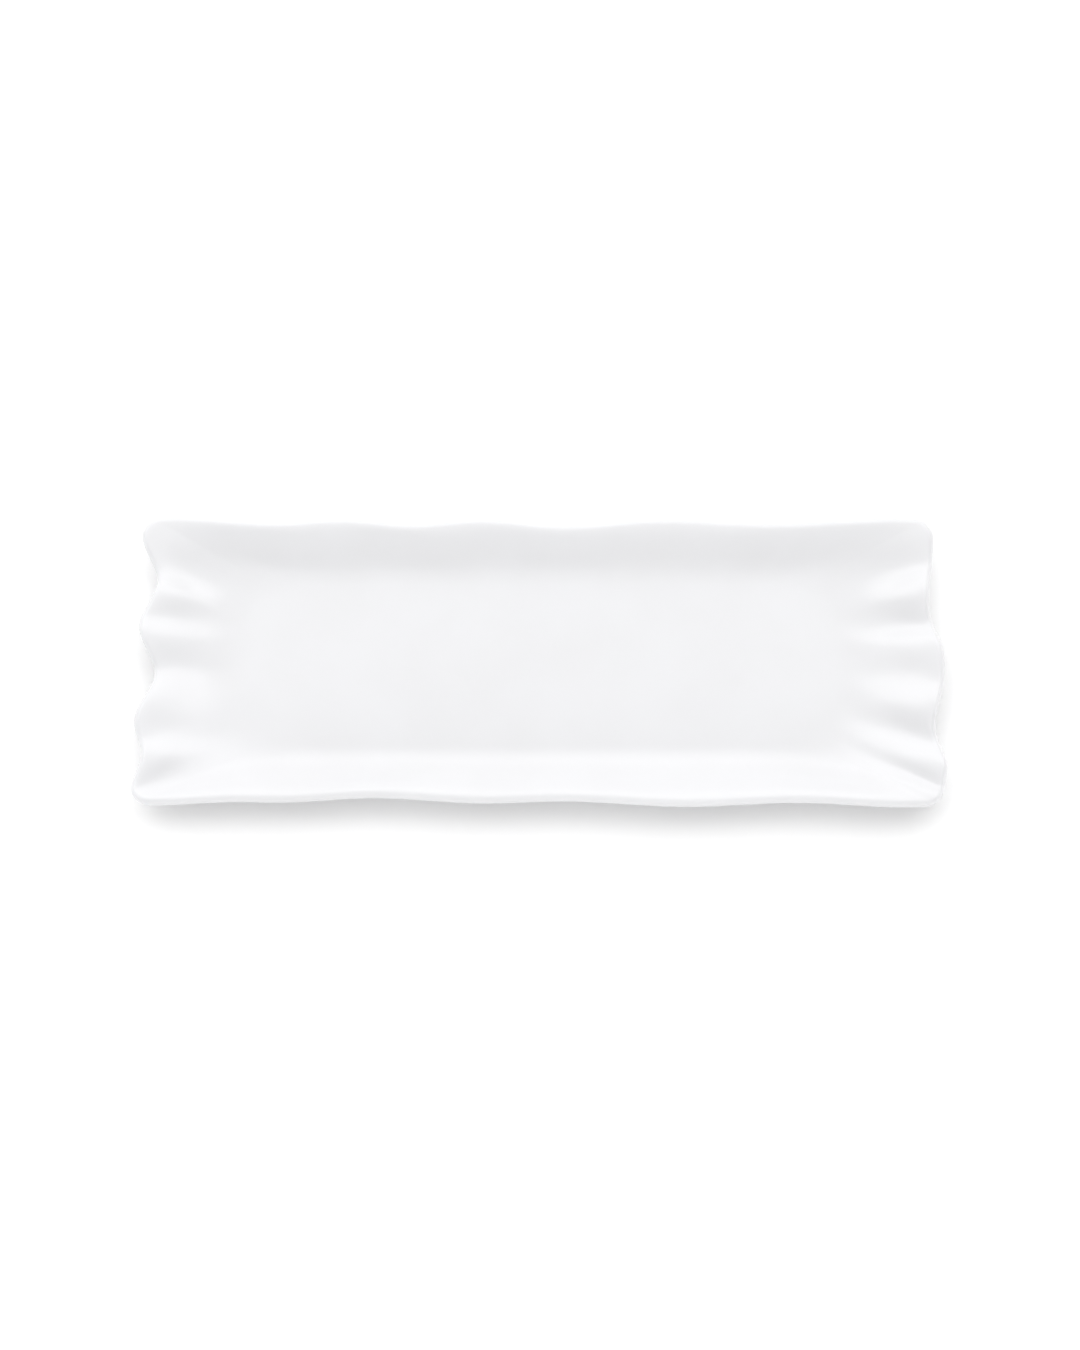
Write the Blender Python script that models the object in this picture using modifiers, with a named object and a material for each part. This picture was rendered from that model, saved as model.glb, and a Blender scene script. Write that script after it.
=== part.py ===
"""A china serving platter: a long slip-cast dish with ruffled ends, and the glaze fired onto it.

Metres, +Z up. The origin is on the table under the middle of the platter, +X runs along its
length and +Y to its back. The platter is one casting, porcelain_body, which stands on the bare
rim of its foot ring. upper_glaze coats the serving face, the rim and the outside down to the
foot, and recess_glaze coats the base inside the foot ring.

The skin is a loft of closed lines that run round the dish, because the floor's outline and the
ruffled rim are unlike curves. Every line has one point on each section, and the sections fan out
from the middle of the dish to its rim.
"""

import math

import bmesh
import bpy
import numpy as np

# Overall size, over the glaze
LENGTH = 0.400
WIDTH = 0.147
HEIGHT = 0.0190
CORNER_RADIUS = 0.010

# The flat floor inside the walls
FLOOR_LENGTH = 0.290
FLOOR_WIDTH = 0.080
FLOOR_CORNER_RADIUS = 0.030

# Thicknesses of the fired clay
FLOOR_THICKNESS = 0.0034
WALL_THICKNESS = 0.0032
LIP_RADIUS = 0.0021

# The foot ring, which follows the edge of the floor
FOOT_DEPTH = 0.0022
FOOT_WIDTH = 0.0036
FOOT_INSET = 0.0015
FOOT_ROUNDING = 0.0005

# The glaze, and the hairline kept between it and the clay
GLAZE_THICKNESS = 0.0004
GLAZE_GAP = 0.0003
BARE_FOOT_HEIGHT = 0.0009

# The wall heads for a plain rounded rectangle this far inside the overall size, and only turns to
# the wavy rim near its top. It leaves the floor level and gets steeper until just below the rim.
WALL_MARGIN = 0.005
WALL_CORNER_RADIUS = 0.030
FLARE = 0.25

# Where each edge is pinched in or bulges, as (place along the edge, inset from the overall size).
# A place is a share of half the edge, from -1 to +1 along X or Y.
LEFT_EDGE = (
    (-1.0, 0.0004), (-0.85, 0.0001), (-0.635, 0.0045), (-0.44, 0.0004), (-0.095, 0.0088),
    (0.265, 0.0012), (0.53, 0.0089), (0.855, 0.0009), (1.0, 0.0012),
)
RIGHT_EDGE = (
    (-1.0, 0.0030), (-0.88, 0.0021), (-0.695, 0.0007), (-0.45, 0.0049), (-0.13, 0.0),
    (0.10, 0.0007), (0.43, 0.0062), (0.60, 0.0045), (0.835, 0.0026), (1.0, 0.0032),
)
BACK_EDGE = (
    (-1.0, 0.0006), (-0.92, 0.0), (-0.635, 0.0027), (-0.49, 0.0011), (-0.31, 0.0037),
    (-0.155, 0.0012), (0.05, 0.0043), (0.27, 0.0014), (0.56, 0.0033), (0.925, 0.0006), (1.0, 0.001),
)
FRONT_EDGE = (
    (-1.0, 0.0012), (-0.935, 0.0011), (-0.735, 0.0026), (-0.64, 0.0023), (-0.41, 0.0045),
    (-0.14, 0.0019), (0.06, 0.0029), (0.355, 0.0002), (0.63, 0.0022), (0.905, 0.0), (1.0, 0.0004),
)

# The folds that run in from each end, as (place along the end, drop below the rim's crests)
LEFT_FOLDS = (
    (-1.0, 0.0006), (-0.90, 0.0028), (-0.66, 0.0012), (-0.54, 0.0028), (-0.38, 0.0010),
    (-0.22, 0.0022), (-0.05, 0.0058), (0.19, 0.0004), (0.32, 0.0020), (0.48, 0.0012),
    (0.59, 0.0040), (0.86, 0.0008), (1.0, 0.0006),
)
RIGHT_FOLDS = (
    (-1.0, 0.0006), (-0.90, 0.0030), (-0.74, 0.0008), (-0.60, 0.0046), (-0.33, 0.0006),
    (-0.16, 0.0028), (0.05, 0.0006), (0.12, 0.0008), (0.24, 0.0048), (0.47, 0.0004),
    (0.69, 0.0042), (0.90, 0.0008), (1.0, 0.0006),
)
# How far in the folds run, and the point each end's folds head for: how far in it lies, and how
# far to the back of the middle
FOLD_REACH = 0.060
LEFT_FAN_LENGTH = 0.60
LEFT_FAN_OFFSET = 0.0
RIGHT_FAN_LENGTH = 0.20
RIGHT_FAN_OFFSET = 0.025

# How finely the loft is divided
END_STEPS = 36
SIDE_STEPS = 26
WALL_STEPS = 6
LIP_STEPS = 5
UNDERSIDE_STEPS = 4

# How much closer together the sections stand towards the corners of a long edge
CORNER_CROWDING = 0.55
# How fast the shape of one edge dies out away from it: higher keeps it closer to the edge
EDGE_HOLD = 6
# The shares of the wall between which its underside is drawn; the lip and the foot take the rest
UNDERSIDE_TOP = 0.88
UNDERSIDE_FOOT = 0.14
# The share of the wall over which its slope is taken
NEARBY = 0.01
# How often the lip is turned to the slope of the wall that runs into it, which its turning changes
LIP_FITTINGS = 3

COAT = GLAZE_GAP + GLAZE_THICKNESS


def smooth_curve(knots):
    """A function that runs smoothly through (place, value) knots and is level at both ends."""
    places, values = np.array(knots).T
    spans = np.diff(places)
    slopes = np.diff(values) / spans
    count = len(places)
    matrix = np.eye(count)
    target = np.zeros(count)
    for i in range(1, count - 1):
        matrix[i, i - 1 : i + 2] = spans[i], 2 * (spans[i - 1] + spans[i]), spans[i - 1]
        target[i] = 3 * (spans[i] * slopes[i - 1] + spans[i - 1] * slopes[i])
    tangents = np.linalg.solve(matrix, target)

    def curve(place):
        place = np.clip(place, places[0], places[-1])
        i = np.clip(np.searchsorted(places, place, side="right") - 1, 0, count - 2)
        t = (place - places[i]) / spans[i]
        rise = values[i] * (1 + 2 * t) * (1 - t) ** 2 + values[i + 1] * t**2 * (3 - 2 * t)
        lean = t * (1 - t) ** 2 * tangents[i] - t**2 * (1 - t) * tangents[i + 1]
        return rise + spans[i] * lean

    return curve


def stations():
    """Points round the unit square, anticlockwise from its lower left, one for each section."""
    even_end = np.linspace(-1, 1, END_STEPS, endpoint=False)
    even_side = np.linspace(-1, 1, SIDE_STEPS, endpoint=False)
    crowded = (3 * even_side - even_side**3) / 2
    side = (1 - CORNER_CROWDING) * even_side + CORNER_CROWDING * crowded
    runs = (
        (side, -np.ones_like(side)),
        (np.ones_like(even_end), even_end),
        (-side, np.ones_like(side)),
        (-np.ones_like(even_end), -even_end),
    )
    return np.hstack([np.vstack(run) for run in runs])


def rounded_rectangle(square, half_x, half_y, radius):
    """Where the rays through the square's points cross a rounded rectangle of this size."""
    ray = np.abs(square) * [[half_x], [half_y]]
    centre = np.array([[half_x - radius], [half_y - radius]])
    a = (ray**2).sum(axis=0)
    b = (ray * centre).sum(axis=0)
    c = (centre**2).sum(axis=0) - radius**2
    on_arc = (b + np.sqrt(np.maximum(b**2 - a * c, 0))) / a
    in_corner = (ray > centre).all(axis=0)
    reach = np.where(in_corner, on_arc, 1)
    return np.sign(square) * ray * reach


def signed_inset(share, low, high):
    """How far a point moves along one axis: the low edge pushes it up, the high edge down."""
    hold = np.abs(share) ** EDGE_HOLD
    return np.where(share < 0, low, -high) * hold


def rim_outline(square):
    """The outermost line of the glazed rim, seen from above, fitted to LENGTH and WIDTH."""
    half = np.array([[LENGTH / 2], [WIDTH / 2]])
    plain = rounded_rectangle(square, LENGTH / 2, WIDTH / 2, CORNER_RADIUS)
    share_x, share_y = plain / half
    move_x = signed_inset(share_x, smooth_curve(LEFT_EDGE)(share_y), smooth_curve(RIGHT_EDGE)(share_y))
    move_y = signed_inset(share_y, smooth_curve(FRONT_EDGE)(share_x), smooth_curve(BACK_EDGE)(share_x))
    wavy = plain + np.vstack((move_x, move_y))
    low = wavy.min(axis=1, keepdims=True)
    high = wavy.max(axis=1, keepdims=True)
    return (wavy - (low + high) / 2) * 2 * half / (high - low)


def fade(depth):
    """The share of a fold's drop that is left this far in from the end of the platter."""
    u = depth / FOLD_REACH
    return 1 - u**3 * (10 - 15 * u + 6 * u**2)


def fold_drop(x, y):
    """How much the folds lower the dish at this place on the plan."""
    drop = np.zeros_like(x)
    for folds, side, fan, offset in (
        (LEFT_FOLDS, -1, LEFT_FAN_LENGTH, LEFT_FAN_OFFSET),
        (RIGHT_FOLDS, 1, RIGHT_FAN_LENGTH, RIGHT_FAN_OFFSET),
    ):
        depth = np.clip(LENGTH / 2 - side * x, 0, FOLD_REACH)
        place = (offset + (y - offset) * fan / (fan - depth)) / (WIDTH / 2)
        drop += smooth_curve(folds)(place) * fade(depth)
    return drop


def wall_rise(w):
    """The height of the wall at share w of its run, as a share of the whole rise."""
    return (1 - FLARE) * w**3 * (4 - 3 * w) + FLARE * w**2


def around(line):
    """The direction in which a closed line runs at each of its points."""
    return np.roll(line, -1, axis=1) - np.roll(line, 1, axis=1)


class Dish:
    """The platter's shape, as closed lines that run round it, one point on each section."""

    def __init__(self):
        self.square = stations()
        self.floor_plan = self.floor_ring(0)
        self.wall_plan = rounded_rectangle(
            self.square, LENGTH / 2 - WALL_MARGIN, WIDTH / 2 - WALL_MARGIN, WALL_CORNER_RADIUS
        )
        self.floor_top = FOOT_DEPTH + FLOOR_THICKNESS
        rim = rim_outline(self.square)
        along = around(rim)
        rim_out = np.stack((along[1], -along[0])) / np.hypot(*along)
        lip_plan = rim - rim_out * (LIP_RADIUS + COAT)
        drop = fold_drop(*lip_plan)
        highest = HEIGHT - COAT - LIP_RADIUS
        self.lip_middle = np.vstack((lip_plan, highest - drop + drop.min()))
        self.lip_up = np.vstack((np.zeros_like(rim), np.ones_like(drop)))
        for _ in range(LIP_FITTINGS):
            self.face_end = self.lip_middle + self.lip_up * LIP_RADIUS
            self.lip_up = self.normal(1)
        self.face_end = self.lip_middle + self.lip_up * LIP_RADIUS
        self.lip_out = np.cross(around(self.lip_middle), self.lip_up, axis=0)
        self.lip_out /= np.linalg.norm(self.lip_out, axis=0)

    def floor_ring(self, out):
        """The floor's outline moved this far outwards, seen from above."""
        return rounded_rectangle(
            self.square, FLOOR_LENGTH / 2 + out, FLOOR_WIDTH / 2 + out, FLOOR_CORNER_RADIUS + out
        )

    def level_line(self, out, up):
        """A line at one height, this far outside the edge of the floor."""
        plan = self.floor_ring(out)
        return np.vstack((plan, np.full_like(plan[:1], up)))

    def face(self, share):
        """A line of the serving face, at this share of the way from the floor to the lip."""
        end = self.face_end[:2]
        plan = self.floor_plan + (self.wall_plan - self.floor_plan) * share
        plan = plan + (end - self.wall_plan) * share**2
        rise = self.face_end[2] + fold_drop(*end) - self.floor_top
        return np.vstack((plan, self.floor_top + rise * wall_rise(share) - fold_drop(*plan)))

    def normal(self, share):
        """The directions square to the serving face, along one of its lines."""
        across = self.face(share) - self.face(share - NEARBY)
        normal = np.cross(across, around(self.face(share)), axis=0)
        return normal / np.linalg.norm(normal, axis=0)

    def wall(self, share, below):
        """The line of the face moved this far into the wall, square to the face."""
        return self.face(share) - self.normal(share) * below

    def thickness(self, share):
        """How thick the clay is at a share of the wall: the floor's at its foot, then the wall's."""
        return FLOOR_THICKNESS + (WALL_THICKNESS - FLOOR_THICKNESS) * share

    def lip(self, degrees, radius):
        """A line of the rounded lip, turned this far from the top of the wall over the edge."""
        angle = math.radians(degrees)
        turned = self.lip_up * math.cos(angle) + self.lip_out * math.sin(angle)
        return self.lip_middle + turned * radius

    def outside(self, skin):
        """The lines from the floor over the rim to the foot, this far outside the clay."""
        face_shares = np.linspace(0, 1, WALL_STEPS + 1)[1:]
        lip_angles = np.linspace(0, 180, LIP_STEPS + 1)[1:]
        under_shares = np.linspace(UNDERSIDE_TOP, UNDERSIDE_FOOT, UNDERSIDE_STEPS)
        lines = [self.level_line(-FOOT_INSET - FOOT_WIDTH, self.floor_top + skin)]
        lines.append(self.level_line(0, self.floor_top + skin))
        lines.extend(self.wall(share, -skin) for share in face_shares)
        lines.extend(self.lip(degrees, LIP_RADIUS + skin) for degrees in lip_angles)
        lines.extend(self.wall(share, self.thickness(share) + skin) for share in under_shares)
        lines.append(self.level_line(-FOOT_INSET + skin, FOOT_DEPTH - skin))
        lines.append(self.level_line(-FOOT_INSET + skin, BARE_FOOT_HEIGHT))
        return lines

    def foot(self):
        """The bare rim of the foot, from its outer side over its flat tread to its inner side."""
        outer = -FOOT_INSET
        inner = outer - FOOT_WIDTH
        return [
            self.level_line(outer, FOOT_ROUNDING),
            self.level_line(outer - FOOT_ROUNDING, 0),
            self.level_line(inner + FOOT_ROUNDING, 0),
            self.level_line(inner, FOOT_ROUNDING),
        ]

    def recess(self, skin):
        """The base inside the foot ring, from the inner side of the foot, this far off the clay."""
        inner = -FOOT_INSET - FOOT_WIDTH - skin
        return [
            self.level_line(inner, BARE_FOOT_HEIGHT),
            self.level_line(inner, FOOT_DEPTH - skin),
        ]


def loft(mesh, lines):
    """Joins the lines, each to the next, and returns their rings of vertices."""
    rings = [[mesh.verts.new(point) for point in line.T] for line in lines]
    for above, below in zip(rings, rings[1:]):
        for i in range(len(above)):
            j = (i + 1) % len(above)
            mesh.faces.new((above[i], below[i], below[j], above[j]))
    return rings


def clear_scene():
    for item in list(bpy.data.objects):
        bpy.data.objects.remove(item, do_unlink=True)


def material(name, colour, roughness):
    made = bpy.data.materials.new(name)
    made.use_nodes = True
    made.diffuse_color = (*colour, 1)
    shader = made.node_tree.nodes["Principled BSDF"]
    shader.inputs["Base Color"].default_value = (*colour, 1)
    shader.inputs["Roughness"].default_value = roughness
    shader.inputs["Metallic"].default_value = 0
    return made


def add_piece(name, mesh, finish, collection):
    """Puts a finished bmesh into the scene as one named, smoothly shaded object."""
    data = bpy.data.meshes.new(name)
    mesh.to_mesh(data)
    mesh.free()
    data.materials.append(finish)
    data.shade_smooth()
    data.set_sharp_from_angle(angle=math.radians(50))
    piece = bpy.data.objects.new(name, data)
    collection.objects.link(piece)
    return piece


def add_coat(name, mesh, finish, collection):
    """An open sheet of glaze, thickened away from the clay."""
    coat = add_piece(name, mesh, finish, collection)
    thicken = coat.modifiers.new("glaze_thickness", "SOLIDIFY")
    thicken.thickness = GLAZE_THICKNESS
    thicken.offset = 1
    thicken.use_even_offset = True
    return coat


def body_mesh(dish):
    """The whole skin of the clay, closed by the floor and by the base."""
    mesh = bmesh.new()
    rings = loft(mesh, dish.outside(0) + dish.foot() + dish.recess(0))
    mesh.faces.new(rings[0])
    mesh.faces.new(reversed(rings[-1]))
    return mesh


def upper_sheet(dish):
    """The inner side of the upper glaze, open where it ends above the foot."""
    mesh = bmesh.new()
    rings = loft(mesh, dish.outside(GLAZE_GAP))
    mesh.faces.new(rings[0])
    return mesh


def recess_sheet(dish):
    """The inner side of the glaze inside the foot ring, open where it ends above the tread."""
    mesh = bmesh.new()
    rings = loft(mesh, dish.recess(GLAZE_GAP))
    mesh.faces.new(reversed(rings[-1]))
    return mesh


def main():
    clear_scene()
    collection = bpy.data.collections.new("china_serving_platter")
    bpy.context.scene.collection.children.link(collection)
    clay = material("fired_porcelain", (0.86, 0.85, 0.82), 0.75)
    glaze = material("white_glaze", (0.90, 0.90, 0.91), 0.08)
    dish = Dish()
    add_piece("porcelain_body", body_mesh(dish), clay, collection)
    add_coat("upper_glaze", upper_sheet(dish), glaze, collection)
    add_coat("recess_glaze", recess_sheet(dish), glaze, collection)


main()
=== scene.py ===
"""The looks of a long white china serving platter with ruffled ends.

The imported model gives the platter's size and place. This script lofts the same form much more
finely: the glaze over the serving face and the outside, the glaze inside the foot ring, and the
fired clay under both, which shows only on the tread of the foot. Metres, +Z up, +X along the
platter and +Y to its back.
"""

from __future__ import annotations

import logging
import math
from dataclasses import dataclass, field
from enum import Enum
from typing import Callable

import bpy
import numpy as np
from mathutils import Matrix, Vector

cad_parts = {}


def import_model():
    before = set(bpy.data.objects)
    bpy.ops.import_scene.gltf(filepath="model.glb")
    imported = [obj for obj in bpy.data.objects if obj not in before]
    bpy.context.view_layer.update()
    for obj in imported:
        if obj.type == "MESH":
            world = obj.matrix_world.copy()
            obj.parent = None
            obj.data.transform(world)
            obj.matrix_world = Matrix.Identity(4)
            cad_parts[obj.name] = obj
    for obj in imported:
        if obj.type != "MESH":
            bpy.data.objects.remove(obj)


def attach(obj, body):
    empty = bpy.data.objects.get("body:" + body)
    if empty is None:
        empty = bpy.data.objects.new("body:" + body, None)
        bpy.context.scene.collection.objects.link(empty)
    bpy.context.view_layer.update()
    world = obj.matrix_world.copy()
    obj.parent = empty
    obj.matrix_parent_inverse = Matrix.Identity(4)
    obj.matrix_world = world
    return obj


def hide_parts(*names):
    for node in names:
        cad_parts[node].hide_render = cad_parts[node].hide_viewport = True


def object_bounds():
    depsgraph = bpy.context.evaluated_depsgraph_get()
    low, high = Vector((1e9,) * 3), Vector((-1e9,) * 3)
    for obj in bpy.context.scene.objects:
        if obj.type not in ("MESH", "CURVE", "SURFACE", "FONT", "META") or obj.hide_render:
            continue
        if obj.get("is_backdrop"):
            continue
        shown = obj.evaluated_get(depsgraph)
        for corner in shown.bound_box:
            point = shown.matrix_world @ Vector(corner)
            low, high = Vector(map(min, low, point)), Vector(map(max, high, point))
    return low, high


LOG = logging.getLogger("platter")

Knots = tuple[tuple[float, float], ...]
Colour = tuple[float, float, float]
Line = np.ndarray

# The steps in which every rounded edge turns, in degrees
QUARTER_TURN = (0, 30, 60, 90)
# The range that nearly all of a noise texture's values lie in
NOISE_RANGE = (0.3, 0.7)


class Body(Enum):
    """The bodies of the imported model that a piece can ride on."""

    ROOT = "root"


class Slot(Enum):
    """The record's material slots."""

    CLAY = "fired_porcelain"
    GLAZE = "white_glaze"


class Node(Enum):
    """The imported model's pieces."""

    CLAY = "porcelain_body"
    UPPER_GLAZE = "upper_glaze"
    RECESS_GLAZE = "recess_glaze"


# ---------------------------------------------------------------------------
# Form
# ---------------------------------------------------------------------------


def smooth_curve(knots: Knots) -> Callable[[Line], Line]:
    """Makes a smooth function through a few points.

    Args:
        knots: (place, value) pairs in rising order of place.

    Returns:
        A function of place that passes through every pair and is level at both ends.
    """
    places, values = np.array(knots).T
    spans = np.diff(places)
    slopes = np.diff(values) / spans
    count = len(places)
    matrix = np.eye(count)
    target = np.zeros(count)
    for i in range(1, count - 1):
        matrix[i, i - 1 : i + 2] = spans[i], 2 * (spans[i - 1] + spans[i]), spans[i - 1]
        target[i] = 3 * (spans[i] * slopes[i - 1] + spans[i - 1] * slopes[i])
    tangents = np.linalg.solve(matrix, target)

    def curve(place: Line) -> Line:
        """Reads the curve at these places."""
        place = np.clip(place, places[0], places[-1])
        i = np.clip(np.searchsorted(places, place, side="right") - 1, 0, count - 2)
        t = (place - places[i]) / spans[i]
        rise = values[i] * (1 + 2 * t) * (1 - t) ** 2 + values[i + 1] * t**2 * (3 - 2 * t)
        lean = t * (1 - t) ** 2 * tangents[i] - t**2 * (1 - t) * tangents[i + 1]
        return rise + spans[i] * lean

    return curve


def around(line: Line) -> Line:
    """The direction in which a closed line runs at each of its points."""
    return np.roll(line, -1, axis=1) - np.roll(line, 1, axis=1)


def rounded_rectangle(square: Line, half_x: float, half_y: float, radius: float) -> Line:
    """Finds where rays through points of the unit square cross a rounded rectangle.

    Args:
        square: points round the unit square, as two rows.
        half_x: half the rectangle's length.
        half_y: half its width.
        radius: the radius of its corners.

    Returns:
        The crossings, as two rows.
    """
    radius = max(radius, 0.0)
    ray = np.abs(square) * [[half_x], [half_y]]
    centre = np.array([[half_x - radius], [half_y - radius]])
    a = (ray**2).sum(axis=0)
    b = (ray * centre).sum(axis=0)
    c = (centre**2).sum(axis=0) - radius**2
    on_arc = (b + np.sqrt(np.maximum(b**2 - a * c, 0))) / a
    in_corner = (ray > centre).all(axis=0)
    return np.sign(square) * ray * np.where(in_corner, on_arc, 1)


@dataclass(frozen=True)
class RimPlan:
    """Where the rim is pinched in or bulges along each edge, seen from above.

    Each edge is (place, inset) pairs: a place is a share of half the edge, from -1 to +1 along X
    or Y, and an inset is how far the rim stays inside the platter's overall size there.
    """

    left: Knots = (
        (-1.0, 0.0004), (-0.85, 0.0001), (-0.635, 0.0045), (-0.44, 0.0004), (-0.095, 0.0088),
        (0.265, 0.0012), (0.53, 0.0089), (0.855, 0.0009), (1.0, 0.0012),
    )
    right: Knots = (
        (-1.0, 0.0030), (-0.88, 0.0021), (-0.695, 0.0007), (-0.45, 0.0049), (-0.13, 0.0),
        (0.10, 0.0007), (0.43, 0.0062), (0.60, 0.0045), (0.835, 0.0026), (1.0, 0.0032),
    )
    back: Knots = (
        (-1.0, 0.0006), (-0.92, 0.0), (-0.635, 0.0027), (-0.49, 0.0011), (-0.31, 0.0037),
        (-0.155, 0.0012), (0.05, 0.0043), (0.27, 0.0014), (0.56, 0.0033), (0.925, 0.0006),
        (1.0, 0.001),
    )
    front: Knots = (
        (-1.0, 0.0012), (-0.935, 0.0011), (-0.735, 0.0026), (-0.64, 0.0023), (-0.41, 0.0045),
        (-0.14, 0.0019), (0.06, 0.0029), (0.355, 0.0002), (0.63, 0.0022), (0.905, 0.0),
        (1.0, 0.0004),
    )
    corner_radius: float = 0.010
    hold: float = 6.0

    def outline(self, square: Line, length: float, width: float) -> Line:
        """Draws the outermost line of the rim.

        Args:
            square: the sections' points round the unit square.
            length: the platter's overall length.
            width: its overall width.

        Returns:
            The outline's points, as two rows.
        """
        half = np.array([[length / 2], [width / 2]])
        plain = rounded_rectangle(square, length / 2, width / 2, self.corner_radius)
        x, y = plain / half
        move_x = self.moved(x, smooth_curve(self.left)(y), smooth_curve(self.right)(y))
        move_y = self.moved(y, smooth_curve(self.front)(x), smooth_curve(self.back)(x))
        wavy = plain + np.vstack((move_x, move_y))
        low = wavy.min(axis=1, keepdims=True)
        high = wavy.max(axis=1, keepdims=True)
        return (wavy - (low + high) / 2) * 2 * half / (high - low)

    def moved(self, share: Line, low: Line, high: Line) -> Line:
        """How far points move along one axis, held close to the two edges that push them."""
        return np.where(share < 0, low, -high) * np.abs(share) ** self.hold


@dataclass(frozen=True)
class EndFolds:
    """The folds that run in from one end of the platter.

    Args:
        side: -1 for the left end, +1 for the right.
        drops: (place, drop) pairs along the end: how far the dish lies below the rim's crests.
        focus: where the folds would meet, measured across the platter.
        fan: how far in from the end they would meet.
        reach: how far in they run before they die out.
    """

    side: int
    drops: Knots
    focus: float
    fan: float
    reach: float

    def drop(self, x: Line, y: Line, half_length: float, half_width: float) -> Line:
        """Says how much these folds lower the dish.

        Args:
            x: the points' X.
            y: their Y.
            half_length: half the platter's length.
            half_width: half its width.

        Returns:
            The drop at each point.
        """
        depth = np.clip(half_length - self.side * x, 0, self.reach)
        place = (self.focus + (y - self.focus) * self.fan / (self.fan - depth)) / half_width
        u = depth / self.reach
        return smooth_curve(self.drops)(place) * (1 - u**3 * (10 - 15 * u + 6 * u**2))


LEFT_FOLDS = EndFolds(
    side=-1,
    drops=(
        (-1.0, 0.0006), (-0.90, 0.0028), (-0.66, 0.0012), (-0.54, 0.0028), (-0.38, 0.0010),
        (-0.22, 0.0022), (-0.05, 0.0058), (0.19, 0.0004), (0.32, 0.0020), (0.48, 0.0012),
        (0.59, 0.0040), (0.86, 0.0008), (1.0, 0.0006),
    ),
    focus=0.0,
    fan=0.60,
    reach=0.060,
)
RIGHT_FOLDS = EndFolds(
    side=1,
    drops=(
        (-1.0, 0.0006), (-0.90, 0.0030), (-0.74, 0.0008), (-0.60, 0.0046), (-0.33, 0.0006),
        (-0.16, 0.0028), (0.05, 0.0006), (0.12, 0.0008), (0.24, 0.0048), (0.47, 0.0004),
        (0.69, 0.0042), (0.90, 0.0008), (1.0, 0.0006),
    ),
    focus=0.025,
    fan=0.20,
    reach=0.060,
)


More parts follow.
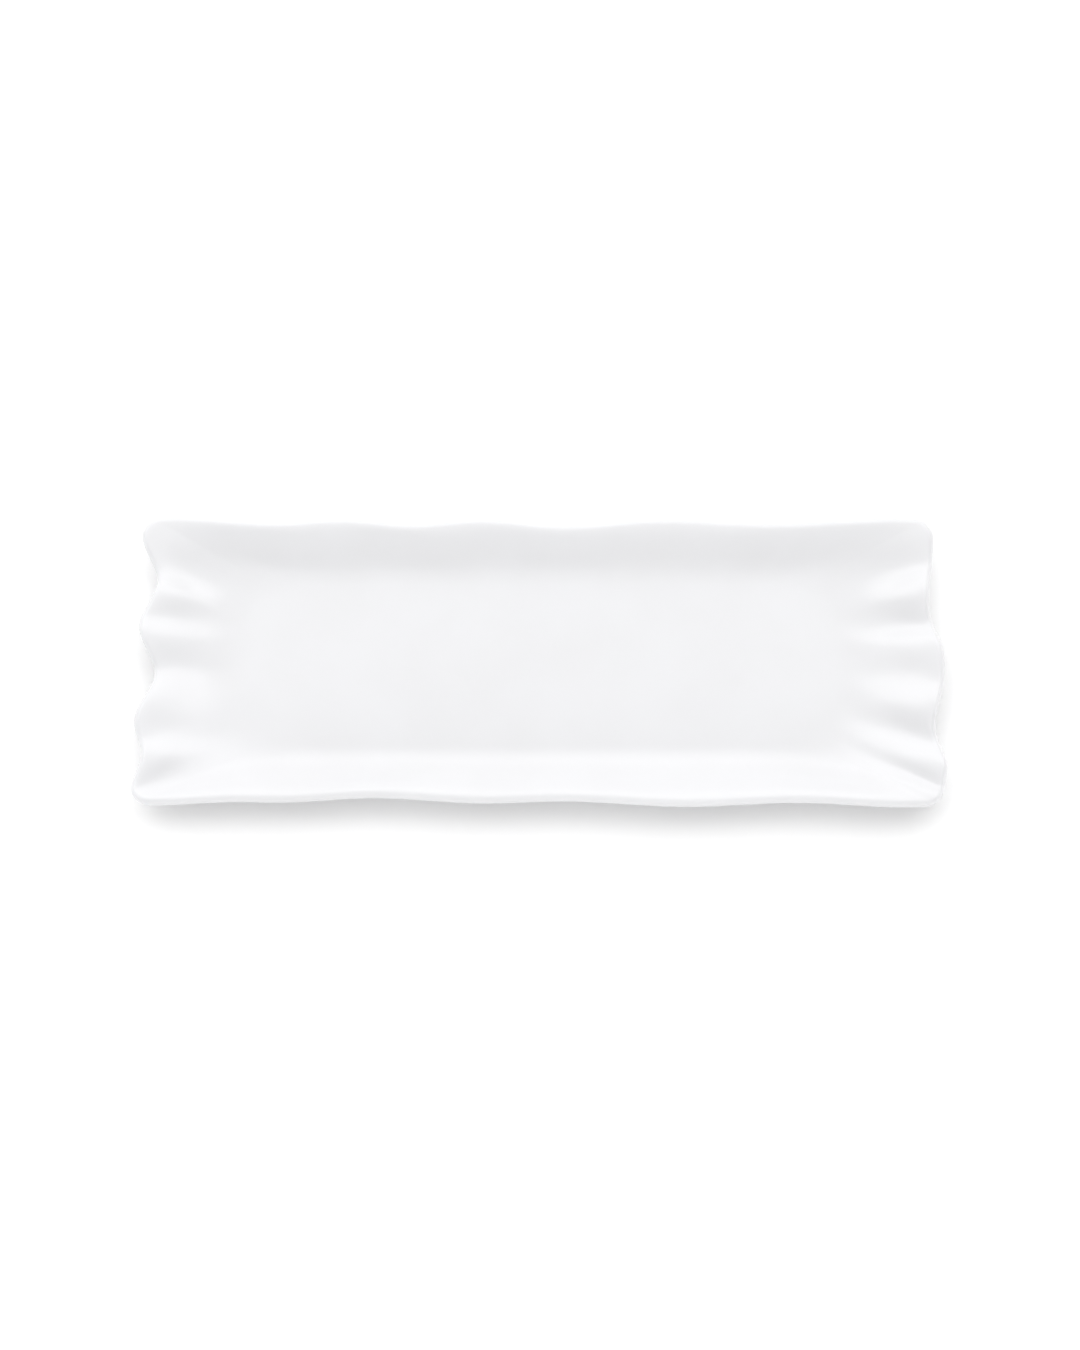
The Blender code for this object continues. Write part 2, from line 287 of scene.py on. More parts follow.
@dataclass
class PlatterForm:
    """The platter's whole form, as closed lines that run round it.

    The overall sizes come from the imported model. Every line has one point on each section, and
    the sections fan out from the middle of the dish to its rim.
    """

    length: float
    width: float
    height: float
    floor_length: float = 0.290
    floor_width: float = 0.080
    floor_corner_radius: float = 0.030
    floor_thickness: float = 0.0034
    wall_thickness: float = 0.0032
    lip_radius: float = 0.0021
    foot_depth: float = 0.0022
    foot_width: float = 0.0036
    foot_inset: float = 0.0015
    foot_rounding: float = 0.0006
    coat: float = 0.0007
    wall_margin: float = 0.005
    wall_corner_radius: float = 0.030
    flare: float = 0.25
    end_sections: int = 120
    side_sections: int = 150
    corner_crowding: float = 0.70
    nearby: float = 0.004
    lip_fittings: int = 4
    rim: RimPlan = field(default_factory=RimPlan)
    folds: tuple[EndFolds, ...] = (LEFT_FOLDS, RIGHT_FOLDS)

    def __post_init__(self) -> None:
        """Draws the floor's edge, the rim and the lip that the wall runs into."""
        self.square = self.sections()
        self.floor_plan = self.floor_ring(0)
        self.wall_plan = rounded_rectangle(
            self.square,
            self.length / 2 - self.wall_margin,
            self.width / 2 - self.wall_margin,
            self.wall_corner_radius,
        )
        self.floor_top = self.foot_depth + self.floor_thickness
        self.foot_outer = -self.foot_inset
        self.foot_inner = self.foot_outer - self.foot_width
        rim = self.rim.outline(self.square, self.length, self.width)
        along = around(rim)
        rim_out = np.stack((along[1], -along[0])) / np.hypot(*along)
        lip_plan = rim - rim_out * (self.lip_radius + self.coat)
        drop = self.fold_drop(*lip_plan)
        highest = self.height - self.coat - self.lip_radius
        self.lip_middle = np.vstack((lip_plan, highest - drop + drop.min()))
        self.lip_up = np.vstack((np.zeros_like(rim), np.ones_like(drop)))
        for _ in range(self.lip_fittings):
            self.face_end = self.lip_middle + self.lip_up * self.lip_radius
            self.lip_up = self.normal(1)
        self.face_end = self.lip_middle + self.lip_up * self.lip_radius
        self.lip_out = np.cross(around(self.lip_middle), self.lip_up, axis=0)
        self.lip_out /= np.linalg.norm(self.lip_out, axis=0)

    def sections(self) -> Line:
        """Points round the unit square, anticlockwise from its lower left, one per section."""
        end = np.linspace(-1, 1, self.end_sections, endpoint=False)
        side = np.linspace(-1, 1, self.side_sections, endpoint=False)
        crowded = (3 * side - side**3) / 2
        side = (1 - self.corner_crowding) * side + self.corner_crowding * crowded
        runs = (
            (side, -np.ones_like(side)),
            (np.ones_like(end), end),
            (-side, np.ones_like(side)),
            (-np.ones_like(end), -end),
        )
        return np.hstack([np.vstack(run) for run in runs])

    def fold_drop(self, x: Line, y: Line) -> Line:
        """How much the folds of both ends lower the dish at these places on the plan."""
        return sum(fold.drop(x, y, self.length / 2, self.width / 2) for fold in self.folds)

    def wall_rise(self, share: Line) -> Line:
        """The wall's height at a share of its run, as a share of its rise."""
        sweep = share**3 * (4 - 3 * share)
        return (1 - self.flare) * sweep + self.flare * share**2

    def floor_ring(self, out: float) -> Line:
        """The floor's outline moved this far outwards, seen from above."""
        return rounded_rectangle(
            self.square,
            self.floor_length / 2 + out,
            self.floor_width / 2 + out,
            self.floor_corner_radius + out,
        )

    def level_line(self, out: float, up: float) -> Line:
        """A line at one height, this far outside the edge of the floor."""
        plan = self.floor_ring(out)
        return np.vstack((plan, np.full_like(plan[:1], up)))

    def face(self, share: float) -> Line:
        """A line of the serving face, at this share of the way from the floor to the lip."""
        end = self.face_end[:2]
        plan = self.floor_plan + (self.wall_plan - self.floor_plan) * share
        plan = plan + (end - self.wall_plan) * share**2
        rise = self.face_end[2] + self.fold_drop(*end) - self.floor_top
        up = self.floor_top + rise * self.wall_rise(share) - self.fold_drop(*plan)
        return np.vstack((plan, up))

    def normal(self, share: float) -> Line:
        """The directions square to the serving face, along one of its lines."""
        across = self.face(share) - self.face(share - self.nearby)
        normal = np.cross(across, around(self.face(share)), axis=0)
        return normal / np.linalg.norm(normal, axis=0)

    def wall(self, share: float, below: float) -> Line:
        """The line of the face moved this far into the wall, square to the face."""
        return self.face(share) - self.normal(share) * below

    def thickness(self, share: float) -> float:
        """How thick the clay is at a share of the wall, from the floor's to the wall's own."""
        return self.floor_thickness + (self.wall_thickness - self.floor_thickness) * share

    def lip(self, degrees: float, radius: float) -> Line:
        """A line of the rounded lip, turned this far from the top of the wall over the edge."""
        angle = math.radians(degrees)
        turned = self.lip_up * math.cos(angle) + self.lip_out * math.sin(angle)
        return self.lip_middle + turned * radius


@dataclass
class LoftedPiece:
    """A closed piece lofted through lines that run round the platter.

    Args:
        form: the platter's form.
        name: the piece's name.
        face_lines: how many lines the serving face has.
        lip_lines: how many the lip has.
        underside_lines: how many the outside of the wall has.
        underside_top: the share of the wall where the outside starts, below the lip.
        underside_foot: the share of the wall where it ends, above the foot.
        floor_rings: how far inside the floor's edge its lines lie, as shares of its half width.
    """

    form: PlatterForm
    name: str = "piece"
    face_lines: int = 30
    lip_lines: int = 12
    underside_lines: int = 14
    underside_top: float = 0.93
    underside_foot: float = 0.12
    floor_rings: tuple[float, ...] = (0.92, 0.75, 0.6, 0.45, 0.3)

    def middle_lines(self, up: float) -> list[Line]:
        """The lines inside the foot ring at one height, from the innermost outwards."""
        half = self.form.floor_width / 2
        return [self.form.level_line(-share * half, up) for share in self.floor_rings]

    def inner_lines(self, skin: float) -> list[Line]:
        """The flat floor, from its middle to its edge, this far above the clay."""
        up = self.form.floor_top + skin
        return self.middle_lines(up) + [self.form.level_line(self.form.foot_inner, up)]

    def wall_lines(self, skin: float) -> list[Line]:
        """The serving face, the lip and the outside of the wall, this far off the clay."""
        form = self.form
        shares = np.linspace(0, 1, self.face_lines + 1)
        angles = np.linspace(0, 180, self.lip_lines + 1)[1:]
        under = np.linspace(self.underside_top, self.underside_foot, self.underside_lines)
        lines = [form.level_line(0, form.floor_top + skin)]
        lines.extend(form.wall(share, -skin) for share in shares[1:])
        lines.extend(form.lip(angle, form.lip_radius + skin) for angle in angles)
        lines.extend(form.wall(share, form.thickness(share) + skin) for share in under)
        return lines

    def loft(self, lines: list[Line]) -> bpy.types.Object:
        """Joins the lines, each to the next, into one mesh object and fills both ends.

        Args:
            lines: closed lines with one point on each section.

        Returns:
            The new object, smoothly shaded.
        """
        count = lines[0].shape[1]
        points = np.hstack(lines).T
        faces: list[tuple[int, ...]] = []
        here = np.arange(count)
        following = np.roll(here, -1)
        for row in range(len(lines) - 1):
            above, below = row * count, (row + 1) * count
            corners = (here + above, here + below, following + below, following + above)
            quads = np.stack(corners, axis=1)
            faces.extend(map(tuple, quads.tolist()))
        last = (len(lines) - 1) * count
        faces.append(tuple(here.tolist()))
        faces.append(tuple((here[::-1] + last).tolist()))
        mesh = bpy.data.meshes.new(self.name)
        mesh.from_pydata(points.tolist(), [], faces)
        mesh.update()
        mesh.shade_smooth()
        piece = bpy.data.objects.new(self.name, mesh)
        bpy.context.scene.collection.objects.link(piece)
        return piece

    def settle(self, piece: bpy.types.Object, node: Node, slot: Slot) -> None:
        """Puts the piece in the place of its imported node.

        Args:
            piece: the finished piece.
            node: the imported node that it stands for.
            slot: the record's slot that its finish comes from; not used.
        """
        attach(piece, Body.ROOT.value)
        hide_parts(node.value)
        LOG.info("%s: %d faces in place of %s", piece.name, len(piece.data.polygons), node.value)


@dataclass
class PorcelainBody(LoftedPiece):
    """The fired clay: the casting with its foot ring, bare only on the tread."""

    name: str = "fired_clay_body"

    def build(self, finish: "ClayFinish") -> bpy.types.Object:
        """Lofts the clay and dresses it."""
        form = self.form
        lines = self.inner_lines(0)
        lines += self.wall_lines(0)
        lines.append(form.level_line(form.foot_outer, form.foot_depth))
        lines += self.rounded_tread()
        lines.append(form.level_line(form.foot_inner, form.foot_depth))
        lines.append(self.middle_lines(form.foot_depth)[0])
        piece = self.loft(lines)
        piece.data.materials.append(finish.material())
        self.settle(piece, Node.CLAY, Slot.CLAY)
        return piece

    def rounded_tread(self) -> list[Line]:
        """The foot's tread from its outer side to its inner one, rounded on both sides."""
        form = self.form
        radius = form.foot_rounding
        outer_side, inner_side = [], []
        for degrees in QUARTER_TURN:
            angle = math.radians(degrees)
            off = radius * (1 - math.cos(angle))
            up = radius * (1 - math.sin(angle))
            outer_side.append(form.level_line(form.foot_outer - off, up))
            inner_side.append(form.level_line(form.foot_inner + off, up))
        return outer_side + inner_side[::-1]


@dataclass
class UpperGlaze(LoftedPiece):
    """The glaze over the serving face, the lip and the outside, down to the foot."""

    name: str = "glaze_over_dish"
    bond: float = 0.0003
    foot_edge: float = 0.0009

    def build(self, finish: "GlazeFinish") -> bpy.types.Object:
        """Lofts the coat of glaze and dresses it."""
        form = self.form
        coat = form.coat
        lines = self.inner_lines(coat) + self.wall_lines(coat)
        lines.append(form.level_line(form.foot_outer + coat, form.foot_depth - coat))
        lines += self.rolled_edge()
        under = self.wall_lines(self.bond)
        lines.append(form.level_line(form.foot_outer + self.bond, form.foot_depth - self.bond))
        lines += under[::-1]
        lines += self.inner_lines(self.bond)[::-1]
        piece = self.loft(lines)
        piece.data.materials.append(finish.material())
        self.settle(piece, Node.UPPER_GLAZE, Slot.GLAZE)
        return piece

    def rolled_edge(self) -> list[Line]:
        """The rounded edge in which the glaze ends, just above the tread."""
        form = self.form
        thick = form.coat - self.bond
        lines = []
        for degrees in QUARTER_TURN:
            angle = math.radians(degrees)
            out = form.foot_outer + self.bond + thick * math.cos(angle)
            lines.append(form.level_line(out, self.foot_edge + thick * (1 - math.sin(angle))))
        return lines


@dataclass
class RecessGlaze(LoftedPiece):
    """The glaze on the base inside the foot ring."""

    name: str = "glaze_in_foot_recess"
    bond: float = 0.0003
    foot_edge: float = 0.0009
    fillet: float = 0.0006

    def build(self, finish: "GlazeFinish") -> bpy.types.Object:
        """Lofts the coat of glaze and dresses it."""
        form = self.form
        inner = form.foot_inner
        lines = [self.middle_lines(form.foot_depth - self.bond)[0]]
        lines.append(form.level_line(inner - self.bond, form.foot_depth - self.bond))
        lines.append(form.level_line(inner - self.bond, self.foot_edge))
        lines.append(form.level_line(inner - form.coat, self.foot_edge))
        for degrees in QUARTER_TURN:
            angle = math.radians(degrees)
            out = inner - form.coat - self.fillet * (1 - math.cos(angle))
            up = form.foot_depth - form.coat - self.fillet * (1 - math.sin(angle))
            lines.append(form.level_line(out, up))
        lines += self.middle_lines(form.foot_depth - form.coat)[::-1]
        piece = self.loft(lines)
        piece.data.materials.append(finish.material())
        self.settle(piece, Node.RECESS_GLAZE, Slot.GLAZE)
        return piece


# ---------------------------------------------------------------------------
# Finishes
# ---------------------------------------------------------------------------


class Wiring:
    """Adds nodes to one node tree and joins them up."""

    def __init__(self, tree: bpy.types.NodeTree) -> None:
        """Starts on this tree."""
        self.tree = tree

    def add(self, kind: str, **settings: object) -> bpy.types.Node:
        """Adds a node.

        Args:
            kind: Blender's name for the type of node.
            **settings: the node's own properties.

        Returns:
            The node.
        """
        node = self.tree.nodes.new(kind)
        for name, value in settings.items():
            setattr(node, name, value)
        return node

    def join(self, source: bpy.types.NodeSocket, target: bpy.types.NodeSocket) -> None:
        """Joins an output to an input."""
        self.tree.links.new(source, target)

    def noise(self, place: bpy.types.NodeSocket, scale: float, detail: float) -> bpy.types.Node:
        """Adds a noise texture.

        Args:
            place: the points that it is drawn on.
            scale: how many features it has to a metre.
            detail: how many finer layers lie over the first.

        Returns:
            The node.
        """
        node = self.add("ShaderNodeTexNoise")
        node.inputs["Scale"].default_value = scale
        node.inputs["Detail"].default_value = detail
        self.join(place, node.inputs["Vector"])
        return node

    def ramp(
        self, value: bpy.types.NodeSocket, source: tuple[float, float], target: tuple[float, float]
    ) -> bpy.types.Node:
        """Adds a smooth step from one range to another.

        Args:
            value: what is stepped.
            source: where the step starts and ends.
            target: what it gives there.

        Returns:
            The node.
        """
        node = self.add("ShaderNodeMapRange", interpolation_type="SMOOTHSTEP")
        for name, number in zip(("From Min", "From Max", "To Min", "To Max"), source + target):
            node.inputs[name].default_value = number
        self.join(value, node.inputs["Value"])
        return node

    def blend(
        self, factor: bpy.types.NodeSocket
    ) -> tuple[list[bpy.types.NodeSocket], bpy.types.NodeSocket]:
        """Adds a blend of two colours.

        Args:
            factor: 0 for the first colour, 1 for the second.

        Returns:
            The inputs of the two colours, and the blend.
        """
        node = self.add("ShaderNodeMix", data_type="RGBA")
        self.join(factor, node.inputs["Factor"])
        ends = [socket for socket in node.inputs if socket.type == "RGBA"]
        return ends, next(socket for socket in node.outputs if socket.type == "RGBA")

    def bump(self, height: bpy.types.NodeSocket, depth: float) -> bpy.types.Node:
        """Adds a bump.

        Args:
            height: the height map, from 0 to 1.
            depth: how far the highest point stands over the lowest, in metres.

        Returns:
            The node.
        """
        node = self.add("ShaderNodeBump")
        node.inputs["Strength"].default_value = 1.0
        node.inputs["Distance"].default_value = depth
        self.join(height, node.inputs["Height"])
        return node


class Effect(Enum):
    """The surface effects that several materials share."""

    MOTTLE = "mottle"
    SPECKS = "specks"


class SharedEffects:
    """The node groups of the shared effects, each built once."""

    def __init__(self) -> None:
        """Builds the groups."""
        self.groups = {Effect.MOTTLE: self.mottle(), Effect.SPECKS: self.specks()}

    def place(self, wiring: Wiring, effect: Effect, **values: float) -> bpy.types.Node:
        """Places an effect in a material.

        Args:
            wiring: the material's tree.
            effect: which effect.
            **values: its inputs, with low lines for spaces.

        Returns:
            The group's node.
        """
        node = wiring.add("ShaderNodeGroup", node_tree=self.groups[effect])
        for name, value in values.items():
            node.inputs[name.replace("_", " ").capitalize()].default_value = value
        return node

    def start(
        self, effect: Effect, inputs: tuple[str, ...], outputs: tuple[str, ...]
    ) -> tuple[Wiring, bpy.types.Node, bpy.types.Node]:
        """Starts a group with plain number sockets.

        Args:
            effect: which effect it makes.
            inputs: the names of its inputs.
            outputs: the names of its outputs.

        Returns:
            Its wiring, its input node and its output node.
        """
        tree = bpy.data.node_groups.new(effect.value, "ShaderNodeTree")
        for name in inputs:
            tree.interface.new_socket(name, in_out="INPUT", socket_type="NodeSocketFloat")
        for name in outputs:
            tree.interface.new_socket(name, in_out="OUTPUT", socket_type="NodeSocketFloat")
        wiring = Wiring(tree)
        return wiring, wiring.add("NodeGroupInput"), wiring.add("NodeGroupOutput")

    def mottle(self) -> bpy.types.NodeTree:
        """Soft clouds with a finer grain over them.

        Inputs are the clouds' and the grain's features to a metre and the grain's share. Outputs
        are the clouds, the grain, and both together.
        """
        names = ("Cloud scale", "Grain scale", "Grain share")
        wiring, given, made = self.start(Effect.MOTTLE, names, ("Clouds", "Grain", "Both"))
        place = wiring.add("ShaderNodeTexCoord").outputs["Object"]
        clouds = wiring.noise(place, 1.0, 3.0)
        grain = wiring.noise(place, 1.0, 2.0)
        wiring.join(given.outputs["Cloud scale"], clouds.inputs["Scale"])
        wiring.join(given.outputs["Grain scale"], grain.inputs["Scale"])
        both = wiring.add("ShaderNodeMix", data_type="FLOAT")
        wiring.join(given.outputs["Grain share"], both.inputs["Factor"])
        wiring.join(clouds.outputs["Fac"], both.inputs["A"])
        wiring.join(grain.outputs["Fac"], both.inputs["B"])
        wiring.join(clouds.outputs["Fac"], made.inputs["Clouds"])
        wiring.join(grain.outputs["Fac"], made.inputs["Grain"])
        wiring.join(both.outputs["Result"], made.inputs["Both"])
        return wiring.tree

    def specks(self) -> bpy.types.NodeTree:
        """Small round specks or pinholes, scattered sparsely.

        Inputs are how many cells there are to a metre, a speck's radius as a share of its cell,
        and the share of cells that have one. The output is a mask of the specks.
        """
        names = ("Scale", "Radius", "Share")
        wiring, given, made = self.start(Effect.SPECKS, names, ("Mask",))
        place = wiring.add("ShaderNodeTexCoord").outputs["Object"]
        cells = wiring.add("ShaderNodeTexVoronoi")
        wiring.join(place, cells.inputs["Vector"])
        wiring.join(given.outputs["Scale"], cells.inputs["Scale"])
        chance = wiring.add("ShaderNodeSeparateColor")
        wiring.join(cells.outputs["Color"], chance.inputs["Color"])
        chosen = wiring.add("ShaderNodeMath", operation="LESS_THAN")
        wiring.join(chance.outputs["Red"], chosen.inputs[0])
        wiring.join(given.outputs["Share"], chosen.inputs[1])
        near = wiring.ramp(cells.outputs["Distance"], (0.0, 1.0), (1.0, 0.0))
        wiring.join(given.outputs["Radius"], near.inputs["From Max"])
        mask = wiring.add("ShaderNodeMath", operation="MULTIPLY")
        wiring.join(near.outputs["Result"], mask.inputs[0])
        wiring.join(chosen.outputs["Value"], mask.inputs[1])
        wiring.join(mask.outputs["Value"], made.inputs["Mask"])
        return wiring.tree


@dataclass(frozen=True)
class Finish:
    """What every finish has: a name and the effects that it draws on."""

    effects: SharedEffects

    def start(self, name: str) -> tuple[bpy.types.Material, Wiring, bpy.types.Node]:
        """Starts a material.

        Args:
            name: the material's name.

        Returns:
            The material, its wiring and its shader.
        """
        made = bpy.data.materials.new(name)
        made.use_nodes = True
        return made, Wiring(made.node_tree), made.node_tree.nodes["Principled BSDF"]

    def tint(
        self, wiring: Wiring, factor: bpy.types.NodeSocket, low: Colour, high: Colour
    ) -> bpy.types.NodeSocket:
        """Blends between two colours.

        Args:
            wiring: the material's tree.
            factor: 0 for the low colour, 1 for the high one.
            low: the low colour.
            high: the high colour.

        Returns:
            The blend.
        """
        ends, blend = wiring.blend(factor)
        for socket, colour in zip(ends, (low, high)):
            socket.default_value = (*colour, 1)
        return blend

    def spotted(
        self,
        wiring: Wiring,
        mask: bpy.types.NodeSocket,
        ground: bpy.types.NodeSocket,
        spot: Colour,
    ) -> bpy.types.NodeSocket:
        """Puts spots of one colour on a varying ground.

        Args:
            wiring: the material's tree.
            mask: 1 on a spot, 0 beside it.
            ground: the ground's colour.
            spot: the spots' colour.

        Returns:
            The spotted colour.
        """
        ends, blend = wiring.blend(mask)
        wiring.join(ground, ends[0])
        ends[1].default_value = (*spot, 1)
        return blend


@dataclass(frozen=True)
class GlazeFinish(Finish):
    """A gloss glaze over white china.

    It is a little uneven: clouds of thicker and thinner glaze, slow ripples left by its flow, a
    fine orange peel, and a few shallow pinholes.
    """

    thin: Colour = (0.707, 0.707, 0.719)
    thick: Colour = (0.721, 0.722, 0.736)
    pinhole: Colour = (0.66, 0.655, 0.65)
    smoothest: float = 0.045
    roughest: float = 0.085
    ripple_depth: float = 0.00002
    peel_depth: float = 0.0000025
    pinhole_depth: float = 0.00006
    clouds_per_metre: float = 26.0
    peel_per_metre: float = 900.0
    peel_share: float = 0.12
    pinhole_cells: float = 150.0
    pinhole_radius: float = 0.07
    pinhole_share: float = 0.035

    def material(self) -> bpy.types.Material:
        """Makes the material."""
        made, wiring, shader = self.start("white_gloss_glaze")
        flow = self.effects.place(
            wiring,
            Effect.MOTTLE,
            cloud_scale=self.clouds_per_metre,
            grain_scale=self.peel_per_metre,
            grain_share=self.peel_share,
        )
        holes = self.effects.place(
            wiring,
            Effect.SPECKS,
            scale=self.pinhole_cells,
            radius=self.pinhole_radius,
            share=self.pinhole_share,
        )
        spread = wiring.ramp(flow.outputs["Both"], NOISE_RANGE, (0.0, 1.0))
        tint = self.tint(wiring, spread.outputs["Result"], self.thin, self.thick)
        colour = self.spotted(wiring, holes.outputs["Mask"], tint, self.pinhole)
        wiring.join(colour, shader.inputs["Base Color"])
        gloss = wiring.ramp(flow.outputs["Grain"], NOISE_RANGE, (self.smoothest, self.roughest))
        wiring.join(gloss.outputs["Result"], shader.inputs["Roughness"])
        ripple = wiring.bump(flow.outputs["Clouds"], self.ripple_depth)
        peel = wiring.bump(flow.outputs["Grain"], self.peel_depth)
        wiring.join(ripple.outputs["Normal"], peel.inputs["Normal"])
        pits = wiring.bump(holes.outputs["Mask"], self.pinhole_depth)
        pits.invert = True
        wiring.join(peel.outputs["Normal"], pits.inputs["Normal"])
        wiring.join(pits.outputs["Normal"], shader.inputs["Normal"])
        return made


@dataclass(frozen=True)
class ClayFinish(Finish):
    """Fired porcelain with no glaze on it: a dry, fine sandy surface with tiny iron specks."""

    light: Colour = (0.83, 0.81, 0.77)
    dark: Colour = (0.74, 0.715, 0.67)
    iron: Colour = (0.34, 0.25, 0.17)
    smoothest: float = 0.72
    roughest: float = 0.90
    grain_depth: float = 0.00005
    patches_per_metre: float = 60.0
    grains_per_metre: float = 2600.0
    grain_share: float = 0.5
    iron_cells: float = 500.0
    iron_radius: float = 0.12
    iron_share: float = 0.06

    def material(self) -> bpy.types.Material:
        """Makes the material."""
        made, wiring, shader = self.start("bare_fired_clay")
        sand = self.effects.place(
            wiring,
            Effect.MOTTLE,
            cloud_scale=self.patches_per_metre,
            grain_scale=self.grains_per_metre,
            grain_share=self.grain_share,
        )
        iron = self.effects.place(
            wiring,
            Effect.SPECKS,
            scale=self.iron_cells,
            radius=self.iron_radius,
            share=self.iron_share,
        )
        spread = wiring.ramp(sand.outputs["Both"], NOISE_RANGE, (0.0, 1.0))
        tint = self.tint(wiring, spread.outputs["Result"], self.dark, self.light)
        colour = self.spotted(wiring, iron.outputs["Mask"], tint, self.iron)
        wiring.join(colour, shader.inputs["Base Color"])
        dry = wiring.ramp(sand.outputs["Grain"], NOISE_RANGE, (self.smoothest, self.roughest))
        wiring.join(dry.outputs["Result"], shader.inputs["Roughness"])
        grain = wiring.bump(sand.outputs["Grain"], self.grain_depth)
        wiring.join(grain.outputs["Normal"], shader.inputs["Normal"])
        return made


@dataclass(frozen=True)
class TableFinish(Finish):
    """A matt white table, very slightly uneven in tone."""

    low: Colour = (0.945, 0.945, 0.945)
    high: Colour = (0.965, 0.965, 0.965)
    roughness: float = 0.9
    clouds_per_metre: float = 3.0
    grains_per_metre: float = 240.0
    grain_share: float = 0.4

    def material(self) -> bpy.types.Material:
        """Makes the material."""
        made, wiring, shader = self.start("matt_white_table")
        tone = self.effects.place(
            wiring,
            Effect.MOTTLE,
            cloud_scale=self.clouds_per_metre,
            grain_scale=self.grains_per_metre,
            grain_share=self.grain_share,
        )
        tint = self.tint(wiring, tone.outputs["Both"], self.low, self.high)
        wiring.join(tint, shader.inputs["Base Color"])
        shader.inputs["Roughness"].default_value = self.roughness
        shader.inputs["Specular IOR Level"].default_value = 0.0
        return made


# ---------------------------------------------------------------------------
# Studio
# ---------------------------------------------------------------------------


@dataclass(frozen=True)
class LightTent:
    """A white cloth dome round the table, lit unevenly from outside.

    Args:
        radius: the dome's radius.
        elevations: the heights of its rows, in degrees.
        rows: each row's brightness at the back, then at even steps round to the front. Both
            sides are lit alike.
        turn: how far the whole tent is turned to the left, in degrees.
        lowest: where the cloth starts, in degrees above the table.
        highest: where its round top starts.
        rings: how many rings of faces it has.
        sectors: how many faces a ring has.
    """

    radius: float = 4.0
    elevations: tuple[float, ...] = (4.5, 12, 20, 28.5, 38, 48.5, 60, 78)
    rows: tuple[tuple[float, ...], ...] = (
        (1.03, 1.03, 1.03, 1.08, 1.24, 1.65, 2.06, 2.27, 2.37),
        (1.18, 1.03, 0.91, 0.91, 1.03, 1.34, 1.75, 2.11, 2.27),
        (1.39, 1.28, 1.06, 0.91, 0.76, 0.83, 1.30, 1.54, 1.70),
        (1.66, 1.62, 1.50, 1.30, 0.78, 0.52, 0.84, 1.26, 1.38),
        (2.18, 2.34, 2.43, 2.00, 0.86, 0.20, 0.28, 0.78, 1.08),
        (2.30, 2.42, 2.56, 2.37, 1.05, 0.22, 0.16, 0.53, 1.10),
        (2.12, 2.22, 2.45, 2.18, 1.17, 0.56, 0.25, 0.53, 0.94),
        (0.98, 0.98, 0.98, 0.98, 0.98, 0.98, 0.98, 0.98, 0.98),
    )
    turn: float = 8.0
    lowest: float = 0.5
    highest: float = 89.5
    rings: int = 36
    sectors: int = 48

    def brightness(self, elevation: float, azimuth: float) -> float:
        """How brightly the cloth is lit in one direction.

        Args:
            elevation: degrees above the table.
            azimuth: degrees from the back, either way round.

        Returns:
            The light it gives off.
        """
        columns = np.linspace(0, 180, len(self.rows[0]))
        levels = [np.interp(abs(azimuth), columns, row) for row in self.rows]
        return float(np.interp(elevation, self.elevations, levels))

    def build(self) -> bpy.types.Object:
        """Makes the tent, which lights the platter but stays out of the picture."""
        points, faces, lit = [], [], []
        for elevation in np.linspace(self.lowest, self.highest, self.rings + 1):
            for azimuth in np.linspace(-180, 180, self.sectors, endpoint=False):
                rise, turn = math.radians(elevation), math.radians(azimuth - self.turn)
                level = self.radius * math.cos(rise)
                up = self.radius * math.sin(rise)
                points.append((level * math.sin(turn), level * math.cos(turn), up))
                lit.append(self.brightness(elevation, azimuth))
        for ring in range(self.rings):
            for sector in range(self.sectors):
                here = ring * self.sectors + sector
                beside = ring * self.sectors + (sector + 1) % self.sectors
                faces.append((here, beside, beside + self.sectors, here + self.sectors))
        faces.append(tuple(range(self.rings * self.sectors, len(points))))
        mesh = bpy.data.meshes.new("light_tent")
        mesh.from_pydata(points, [], faces)
        mesh.attributes.new("lit", "FLOAT", "POINT").data.foreach_set("value", lit)
        tent = bpy.data.objects.new("light_tent", mesh)
        bpy.context.scene.collection.objects.link(tent)
        tent.visible_camera = False
        mesh.materials.append(self.cloth())
        tent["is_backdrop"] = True
        return tent

    def cloth(self) -> bpy.types.Material:
        """Makes the lit cloth."""
        made = bpy.data.materials.new("lit_cloth")
        made.use_nodes = True
        made.node_tree.nodes.clear()
        wiring = Wiring(made.node_tree)
        lit = wiring.add("ShaderNodeAttribute", attribute_name="lit")
        glow = wiring.add("ShaderNodeEmission")
        output = wiring.add("ShaderNodeOutputMaterial")
        wiring.join(lit.outputs["Fac"], glow.inputs["Strength"])
        wiring.join(glow.outputs["Emission"], output.inputs["Surface"])
        return made


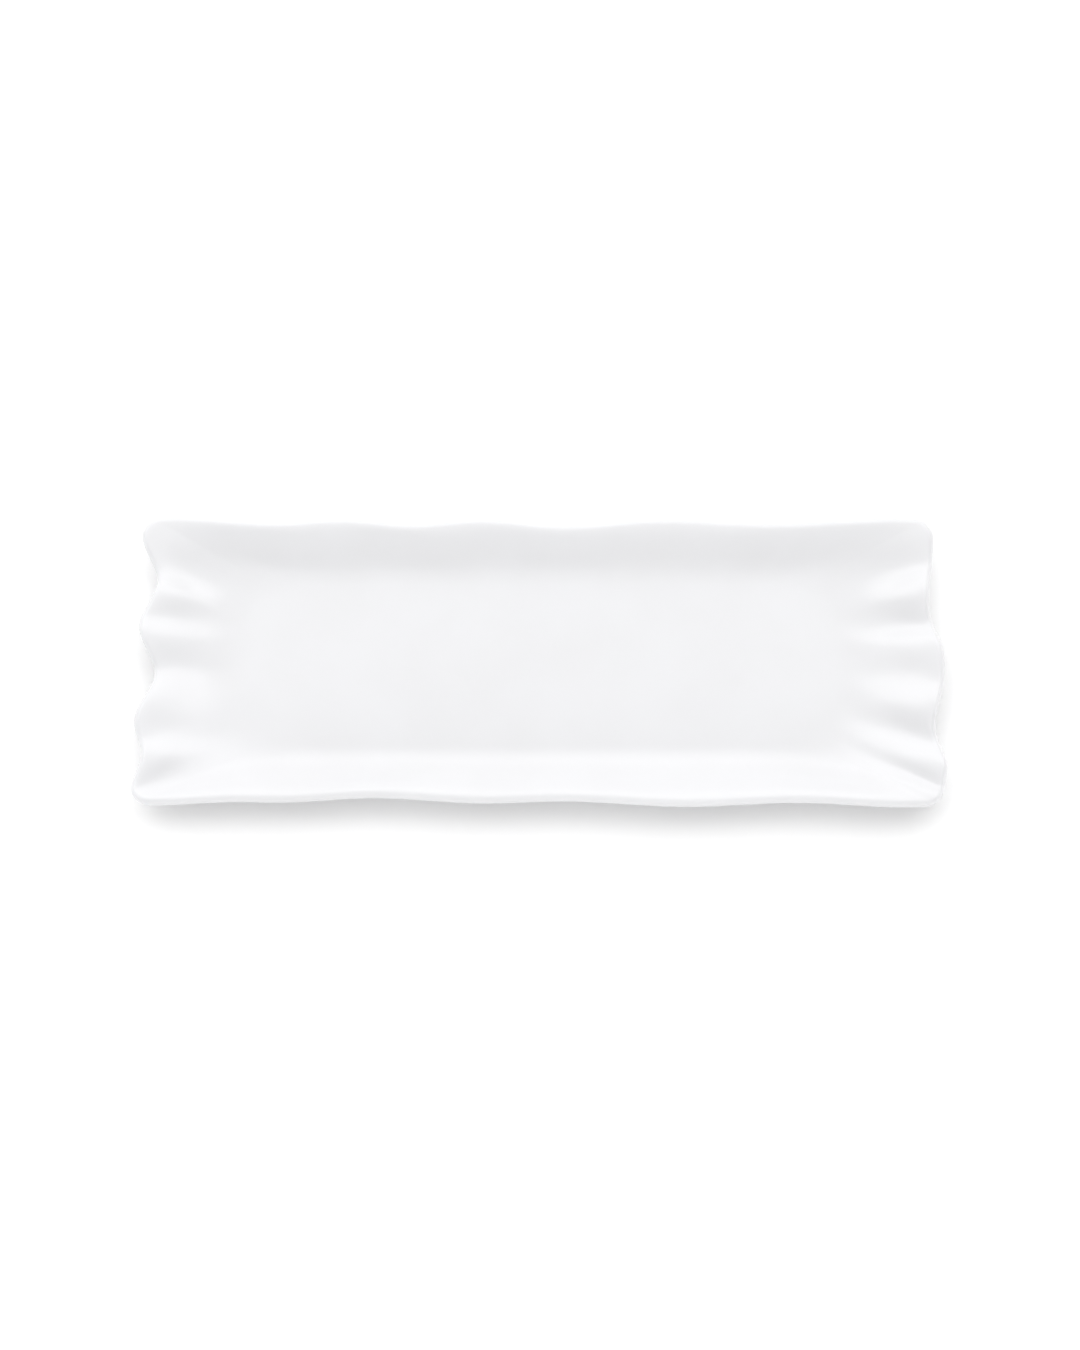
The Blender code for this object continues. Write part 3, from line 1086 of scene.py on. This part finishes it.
@dataclass
class Studio:
    """A plain white table, soft light from behind, and the camera.

    Args:
        effects: the shared surface effects.
        table_half: half the table's length and width.
        surround: how bright the room beyond the table looks.
        camera_elevation: the camera's height over the table, in degrees, from the front.
        camera_distance: how far it stands from the point that it aims at.
        camera_aim: that point.
        lens: its focal length in millimetres.
        tent: the light tent.
    """

    effects: SharedEffects
    table_half: float = 3.0
    surround: float = 1.0
    camera_elevation: float = 77.5
    camera_distance: float = 1.0655
    camera_aim: tuple[float, float, float] = (-0.0001, -0.0040, 0.0)
    lens: float = 56.75
    tent: LightTent = field(default_factory=LightTent)

    def build(self) -> None:
        """Makes the table, the lights, the surrounding light and the camera."""
        self.build_table()
        self.tent.build()
        world = bpy.data.worlds.new("studio_surround")
        world.use_nodes = True
        background = world.node_tree.nodes["Background"]
        background.inputs["Color"].default_value = (1, 1, 1, 1)
        background.inputs["Strength"].default_value = self.surround
        bpy.context.scene.world = world
        bpy.context.scene.view_settings.view_transform = "Standard"
        self.build_camera()

    def build_table(self) -> None:
        """Makes the table top."""
        half = self.table_half
        mesh = bpy.data.meshes.new("table_top")
        corners = [(-half, -half, 0), (half, -half, 0), (half, half, 0), (-half, half, 0)]
        mesh.from_pydata(corners, [], [(0, 1, 2, 3)])
        table = bpy.data.objects.new("table_top", mesh)
        bpy.context.scene.collection.objects.link(table)
        table.data.materials.append(TableFinish(self.effects).material())
        table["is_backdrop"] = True

    def build_camera(self) -> None:
        """Makes the camera, above the platter and a little in front of it."""
        elevation = math.radians(self.camera_elevation)
        away = Vector((0, -math.cos(elevation), math.sin(elevation)))
        data = bpy.data.cameras.new("studio_camera")
        data.lens = self.lens
        camera = bpy.data.objects.new("studio_camera", data)
        camera.location = Vector(self.camera_aim) + away * self.camera_distance
        camera.rotation_euler = (-away).to_track_quat("-Z", "Y").to_euler()
        bpy.context.scene.collection.objects.link(camera)
        bpy.context.scene.camera = camera


def bounds_as_lists() -> list[list[float]]:
    """The whole object's box now, as plain lists."""
    return [list(corner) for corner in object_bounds()]


def main() -> None:
    """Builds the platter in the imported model's place and the studio round it."""
    logging.basicConfig(level=logging.INFO, format="%(name)s %(message)s")
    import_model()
    cad_box = bounds_as_lists()
    low, high = cad_box
    effects = SharedEffects()
    Studio(effects).build()
    form = PlatterForm(
        length=high[0] - low[0],
        width=high[1] - low[1],
        height=high[2] - low[2],
    )
    glaze = GlazeFinish(effects)
    PorcelainBody(form).build(ClayFinish(effects))
    UpperGlaze(form).build(glaze)
    RecessGlaze(form).build(glaze)


if __name__ == "__main__":
    main()
